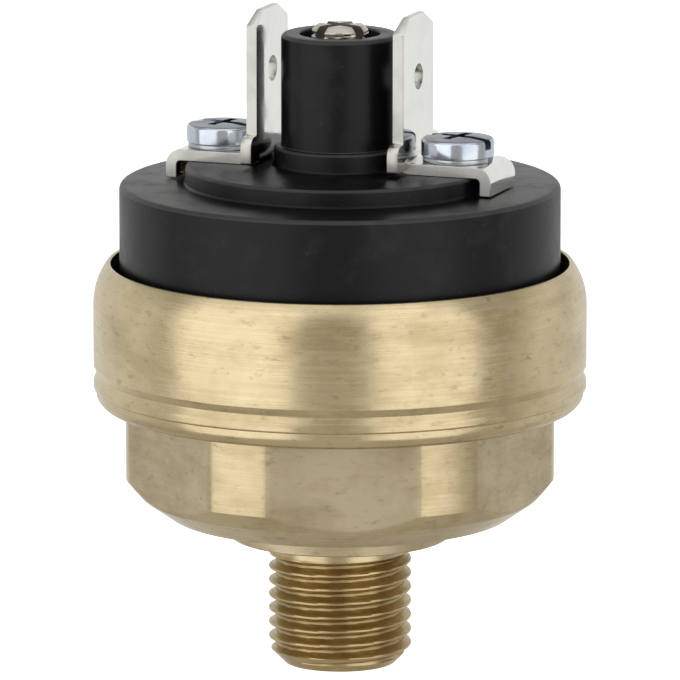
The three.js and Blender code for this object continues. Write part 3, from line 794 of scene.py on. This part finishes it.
def terminal_screw(side):
    name = side_name(side)
    node = f"terminal_screw_{name}"
    top, tip = high(node).z, low(node).z
    neck, rim, flat = 1.35, 2.55, 1.2  # radii of the head
    head_bottom = top - 1.35
    thread_top = head_bottom - 0.4
    shank, shape = threaded_path(tip, thread_top, major=1.5, pitch=0.5, point=0.4)
    head = rounded([
        (neck, thread_top), (neck, head_bottom), (rim, head_bottom, 0.08), (rim, top - 0.12, 0.3),
        (flat, top, 1.5), (0, top), (0, tip),
    ], steps=6)
    piece = turned(f"{node}_plated", [(0, tip)] + shank + head[:-1], SMALL_COLUMNS, shape)
    slot = slot_tool("slot", width=0.7, length=8, depth=0.75, top=top, turn=CLAMP_SLOT)
    combine(piece, slot, "DIFFERENCE")
    arm = slot_tool("arm", width=0.62, length=2.9, depth=0.7, top=top, turn=CLAMP_SLOT + math.pi / 2)
    combine(piece, arm, "DIFFERENCE")
    shade(piece)
    piece.data.transform(Matrix.Translation((side * SCREW_X * MM, 0, 0)))
    finish_piece(piece, ZINC, f"clamp_screw_{name}", node)

    def zinc_finish_and_top_shade(face):
        """The zinc of a face of the screw: duller, and darker as a painted shade, on the head's top and
        the floors of its slots.
        """
        # Painted shade: up-facing faces of the head get a darker zinc.
        on_top = face.normal.z > 0.85 and face.center.z / MM > head_bottom + 0.3
        return DULL_SHADED_ZINC if on_top else ZINC

    paint(piece, (DULL_SHADED_ZINC,), zinc_finish_and_top_shade)


def adjusting_screw():
    top, bottom = high("adjusting_screw").z, low("adjusting_screw").z
    thread_top, neck, flat = top - 0.5, 1.95, 1.6
    shank, shape = threaded_path(bottom, thread_top, major=2.0, pitch=0.7, point=0.6)
    head = rounded([
        (neck, thread_top), (neck, top - 0.35, 0.1), (flat, top, 0.15), (0, top), (0, bottom),
    ], steps=6)
    piece = turned("adjusting_screw_cut", [(0, bottom)] + shank + head[:-1], SMALL_COLUMNS, shape)
    for turn in (ADJUSTER_SLOT, ADJUSTER_SLOT + math.pi / 2):
        slot = slot_tool("slot", width=0.8, length=6, depth=1.1, top=top, turn=turn)
        combine(piece, slot, "DIFFERENCE")
    shade(piece)
    finish_piece(piece, NICKEL, "setpoint_screw", "adjusting_screw")


def lock_washer(side):
    """A split ring with rounded edges and a gap between its two ends."""
    name = side_name(side)
    node = f"lock_washer_{name}"
    bottom, top = low(node).z, high(node).z
    inner, outer = 1.6, 2.45
    section = rounded([
        (inner, bottom, 0.05), (outer, bottom, 0.08), (outer, top, 0.08), (inner, top, 0.05),
    ], steps=3)
    half_gap, steps = math.radians(12), 90
    vertices = []
    for step in range(steps + 1):
        angle = half_gap + (2 * math.pi - 2 * half_gap) * step / steps
        vertices += [(r * math.cos(angle), r * math.sin(angle), z) for r, z in section]
    count = len(section)
    faces = [tuple(range(count)), tuple(reversed(range(steps * count, (steps + 1) * count)))]
    for step in range(steps):
        for i in range(count):
            j = (i + 1) % count
            row, following = step * count, (step + 1) * count
            faces.append((row + i, row + j, following + j, following + i))
    piece = new_piece(f"{node}_rolled", vertices, faces)
    make_normals_consistent(piece)
    turn = Matrix.Rotation(0 if side > 0 else math.pi, 4, "Z")
    piece.data.transform(turn @ Matrix.Translation((SCREW_X * MM, 0, 0)))
    shade(piece)
    finish_piece(piece, SPRING_STEEL, f"washer_{name}", node)


# ---------------------------------------------------------------------------------------------------
# Inner pieces
# ---------------------------------------------------------------------------------------------------


def knurled(inner, outer, bottom):
    """Shape of a pressed-in part: fine teeth round the barrel between two radii, above a height."""
    depth, half_teeth = 0.11, 18

    def shape(radius, height, angle):
        if inner < radius < outer and height > bottom:
            return radius - depth * abs(math.sin(half_teeth * angle))
        return radius

    return shape


def turned_part(name, node, body, material, profile, x=0.0, shape=None):
    """A turned piece in place of one CAD node, with its axis at x."""
    piece = turned(name, rounded(profile, steps=4), INNER_COLUMNS, shape)
    piece.data.transform(Matrix.Translation((x * MM, 0, 0)))
    finish_piece(piece, material, body, node)


def diaphragm():
    """A clamped rim and a centre; they meet in the groove."""
    bottom, top, groove = 7, 8, 7.6
    bead = arc(10.6, top, 0.4, end=181)
    turned_part("diaphragm_rim", "diaphragm", "housing", RUBBER, [
        (groove, bottom), (11.9, bottom, 0.12), (11.9, top, 0.12), *bead, (groove + 0.15, top, 0.1),
        (groove, top - 0.2),
    ])
    centre = turned("diaphragm_centre", rounded([
        (0, bottom), (groove, bottom), (groove, top - 0.2), (groove - 0.15, top, 0.1), (0, top),
    ]), INNER_COLUMNS)
    centre.data.materials.append(RUBBER)
    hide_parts("diaphragm")
    stretch(centre)


def guide_ring():
    turned_part("guide_ring_turned", "guide_ring", "housing", BRASS, [
        (7.8, 8, 0.1), (10.15, 8), (10.15, 8.45), (11.05, 8.45), (11.05, 8), (11.9, 8, 0.15),
        (11.9, 12.6, 0.3), (7.1, 12.6, 0.35), (7.1, 10.2, 0.1), (7.8, 10.2),
    ])


def pressure_plate():
    turned_part("pressure_plate_turned", "pressure_plate", "plunger", BRASS, [
        (0, 8.05), (7.5, 8.05, 0.5), (7.5, 9.55, 0.15), (5.4, 9.55), (5.2, 9.35, 0.1), (4.8, 9.35, 0.1),
        (4.6, 9.55), (0.6, 9.55), (0, 9.2),
    ])


def contact_carrier():
    turned_part("contact_carrier_moulded", "contact_carrier", "plunger", NATURAL, [
        (0, 9.6), (6.9, 9.6, 0.15), (6.9, 10.9, 0.25), (4.6, 10.9, 0.15), (4.6, 19.6, 0.3),
        (3.3, 19.6, 0.25), (3.3, 10.6, 0.15), (0, 10.6),
    ])


def contact_disc():
    turned_part("contact_disc_stamped", "contact_disc", "moving_contact", SILVER, [
        (4.75, 17.45, 0.12), (6.6, 17.45, 0.1), (6.75, 17.57, 0.1), (7.15, 17.57, 0.1),
        (7.3, 17.45, 0.1), (10.4, 17.45, 0.12), (10.4, 18.05, 0.25), (7.3, 18.05, 0.1),
        (7.15, 17.93, 0.1), (6.75, 17.93, 0.1), (6.6, 18.05, 0.1), (4.75, 18.05, 0.25),
    ])


def retaining_ring():
    turned_part("retaining_ring_pressed", "retaining_ring", "plunger", SPRING_STEEL, [
        (4.62, 18.25, 0.06), (5.1, 18.1, 0.1), (5.9, 18.1, 0.15), (5.9, 18.7, 0.2), (5.2, 18.7, 0.1),
        (4.62, 18.55, 0.06),
    ])


def spring_seat():
    turned_part("spring_seat_turned", "spring_seat", "setpoint_seat", ZINC, [
        (0, 26.4), (1.9, 26.4, 0.3), (1.9, 27.3, 0.1), (3.2, 27.3, 0.12), (3.2, 28.2, 0.25),
        (1.6, 28.2, 0.1), (1.4, 28.05, 0.1), (0, 28.05),
    ])


def threaded_insert():
    turned_part("threaded_insert_knurled", "threaded_insert", "housing", BRASS, [
        (2.04, 29.0, 0.1), (3.3, 29.0, 0.12), (3.3, 29.58, 0.12), (2.78, 29.58), (2.78, 34.0, 0.2),
        (2.04, 34.0, 0.25),
    ], shape=knurled(2.6, 2.79, 29.7))


def cover_seal():
    section = arc(14.3, 13.3, 0.65, end=360)
    turned_part("cover_seal_moulded", "cover_seal", "housing", RUBBER, section)


def contact_bush(side):
    name = side_name(side)
    turned_part(f"contact_bush_{name}_knurled", f"contact_bush_{name}", "housing", BRASS, [
        (0, 19.9), (2.7, 19.9, 0.2), (2.7, 20.58, 0.1), (2.2, 20.58), (2.2, 26.38, 0.2),
        (1.56, 26.38, 0.2), (1.56, 20.9), (0, 20.5),
    ], side * SCREW_X, knurled(2.1, 2.25, 20.7))


def contact_tip(side):
    name = side_name(side)
    turned_part(f"contact_tip_{name}_coined", f"contact_tip_{name}", "housing", SILVER, [
        (0, 18.7), (0.7, 18.72, 1.0), (1.4, 19.0, 0.25), (1.4, 19.9), (0, 19.9),
    ], side * SCREW_X)


def spring(name, node, radius, wire, coils, bottom, top, first_turn, last_turn):
    """Wire of a coil spring with closed ends, from one turn to another. wire is its radius."""
    lie = wire * 2.05  # rise of a closed end turn, which lies on the next one
    start, end = bottom + wire, top - wire
    pitch = (end - start - 2 * lie) / (coils - 2)
    steps, sides = round((last_turn - first_turn) * 40), 14
    vertices = []
    for step in range(steps + 1):
        turn = first_turn + (last_turn - first_turn) * step / steps
        height = start + lie * turn
        if turn > 1:
            height = start + lie + pitch * (turn - 1)
        if turn > coils - 1:
            height = end - lie * (coils - turn)
        angle = turn * 2 * math.pi
        out = Vector((math.cos(angle), math.sin(angle), 0))
        rise = pitch / (2 * math.pi)
        along = Vector((-math.sin(angle) * radius, math.cos(angle) * radius, rise)).normalized()
        up = out.cross(along)
        for side in range(sides):
            a = 2 * math.pi * side / sides
            middle = out * radius + Vector((0, 0, height))
            vertices.append(middle + (out * math.cos(a) + up * math.sin(a)) * wire)
    faces = [tuple(range(sides)), tuple(reversed(range(steps * sides, (steps + 1) * sides)))]
    for step in range(steps):
        for side in range(sides):
            beside = (side + 1) % sides
            row, following = step * sides, (step + 1) * sides
            faces.append((row + side, row + beside, following + beside, following + side))
    piece = new_piece(name, vertices, faces)
    make_normals_consistent(piece)
    piece.data.materials.append(SPRING_STEEL)
    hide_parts(node)
    return piece


def stretch(piece):
    """Bakes the piece's placement into its mesh."""
    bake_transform(piece)


def springs():
    bottom, top, coils = 10.65, 27.25, 9
    main = ("main_spring", 2.6, 0.4, coils, bottom, top)
    lower = spring("main_spring_lower", *main, 0, coils / 2)
    stretch(lower)
    upper = spring("main_spring_upper", *main, coils / 2, coils)
    stretch(upper)
    bottom, top, coils = 10.95, 17.4, 4
    contact = spring("contact_spring_coiled", "contact_spring", 5.2, 0.25, coils, bottom, top, 0, coils)
    stretch(contact)


# ---------------------------------------------------------------------------------------------------
# Studio
# ---------------------------------------------------------------------------------------------------

AIM = Vector((0, 0, 13.9)) * MM  # what the camera and the lights point at
VIEW_AZIMUTH, VIEW_ELEVATION = 20, 10.95
VIEW_WIDTH = 47.55 * MM
LENS, SENSOR = 500, 36


def towards(azimuth, elevation):
    """Unit vector from the object to a place at that azimuth and elevation."""
    a, e = math.radians(azimuth), math.radians(elevation)
    return Vector((math.sin(a) * math.cos(e), -math.cos(a) * math.cos(e), math.sin(e)))


def camera():
    data = bpy.data.cameras.new("camera")
    data.lens, data.sensor_width = LENS, SENSOR
    item = bpy.data.objects.new("camera", data)
    back = towards(VIEW_AZIMUTH, VIEW_ELEVATION)
    item.location = AIM + back * VIEW_WIDTH * LENS / SENSOR
    item.rotation_euler = (-back).to_track_quat("-Z", "Y").to_euler()
    data.clip_start, data.clip_end = 0.01, 20
    bpy.context.scene.collection.objects.link(item)
    bpy.context.scene.camera = item


def light_group(name, pieces, state):
    """Group for a light that leaves these pieces out (EXCLUDE) or lights nothing else (INCLUDE)."""
    group = bpy.data.collections.new(name)
    for piece in pieces:
        group.objects.link(piece)
    for entry in group.collection_objects:
        entry.light_linking.link_state = state
    return group


def softbox(name, azimuth, elevation, distance, width, height, radiance, group=None):
    """A rectangular light that faces the object. It lights all pieces, or a light group's."""
    data = bpy.data.lights.new(name, "AREA")
    data.shape = "RECTANGLE"
    data.size, data.size_y = width, height
    data.energy = radiance * math.pi * width * height
    data.color = (0.98, 0.985, 1.0)
    item = bpy.data.objects.new(name, data)
    direction = towards(azimuth, elevation)
    item.location = AIM + direction * distance
    item.rotation_euler = (-direction).to_track_quat("-Z", "Y").to_euler()
    item.visible_camera = False
    item.light_linking.receiver_collection = group
    bpy.context.scene.collection.objects.link(item)


def floor():
    material, _, shader = new_material("floor", (0.92, 0.92, 0.92), 0.0, 0.9)
    shader.inputs["Emission Color"].default_value = (1, 1, 1, 1)
    shader.inputs["Emission Strength"].default_value = 0.85
    size = 4000
    corners = [(x * size, y * size, SPIGOT_END) for x, y in SQUARE]
    piece = new_piece("floor", corners, [(0, 1, 2, 3)])
    piece.data.materials.append(material)
    piece.visible_glossy = False
    piece.visible_shadow = False


def world():
    """Grey in front of the object, above it and below it, and bright behind it like a white sheet."""
    item = bpy.data.worlds.new("studio")
    item.use_nodes = True
    tree = item.node_tree
    background = tree.nodes["Background"]
    place = add_node(tree, "ShaderNodeTexCoord").outputs["Generated"]
    facing = add_node(tree, "ShaderNodeVectorMath", operation="DOT_PRODUCT")
    facing.inputs[1].default_value = towards(VIEW_AZIMUTH, 0)
    tree.links.new(place, facing.inputs[0])
    front = remapped(tree, facing.outputs["Value"], -0.22, 0.02)
    around = mixed(tree, front, (0.85, 0.85, 0.84), (0.53, 0.515, 0.485))
    split = add_node(tree, "ShaderNodeSeparateXYZ")
    tree.links.new(place, split.inputs[0])
    below = remapped(tree, split.outputs["Z"], -0.35, -0.65)
    above = remapped(tree, split.outputs["Z"], 0.38, 0.62)
    upper = mixed(tree, above, around, (0.46, 0.45, 0.43))
    tree.links.new(mixed(tree, below, upper, (0.56, 0.53, 0.485)), background.inputs["Color"])
    bpy.context.scene.world = item


def studio(terminals):
    """Softboxes left, right and overhead. The bright tin gets weaker ones left and right."""
    others = light_group("all_but_terminals", terminals, "EXCLUDE")
    alone = light_group("terminals", terminals, "INCLUDE")
    for name, group, strength in (("softbox", others, 1), ("terminal_softbox", alone, 0.46)):
        side = {"elevation": 5, "distance": 0.30, "height": 0.60, "group": group}
        softbox(f"left_{name}", VIEW_AZIMUTH - 51, width=0.346, radiance=1.04 * strength, **side)
        softbox(f"right_{name}", VIEW_AZIMUTH + 40, width=0.29, radiance=0.95 * strength, **side)
    softbox("overhead_softbox", VIEW_AZIMUTH, elevation=78, distance=0.40, width=0.50, height=0.50,
            radiance=0.6)
    view = bpy.context.scene.view_settings
    view.view_transform = "Standard"
    view.look = "None"


# ---------------------------------------------------------------------------------------------------
# The whole
# ---------------------------------------------------------------------------------------------------

camera()
world()
floor()
brass_body()
terminal_cover()
adjusting_screw()
studio([terminal(side) for side in (-1, 1)])
for side in (-1, 1):
    terminal_screw(side)
    lock_washer(side)
    contact_bush(side)
    contact_tip(side)
threaded_insert()
spring_seat()
cover_seal()
contact_disc()
retaining_ring()
contact_carrier()
pressure_plate()
guide_ring()
diaphragm()
springs()
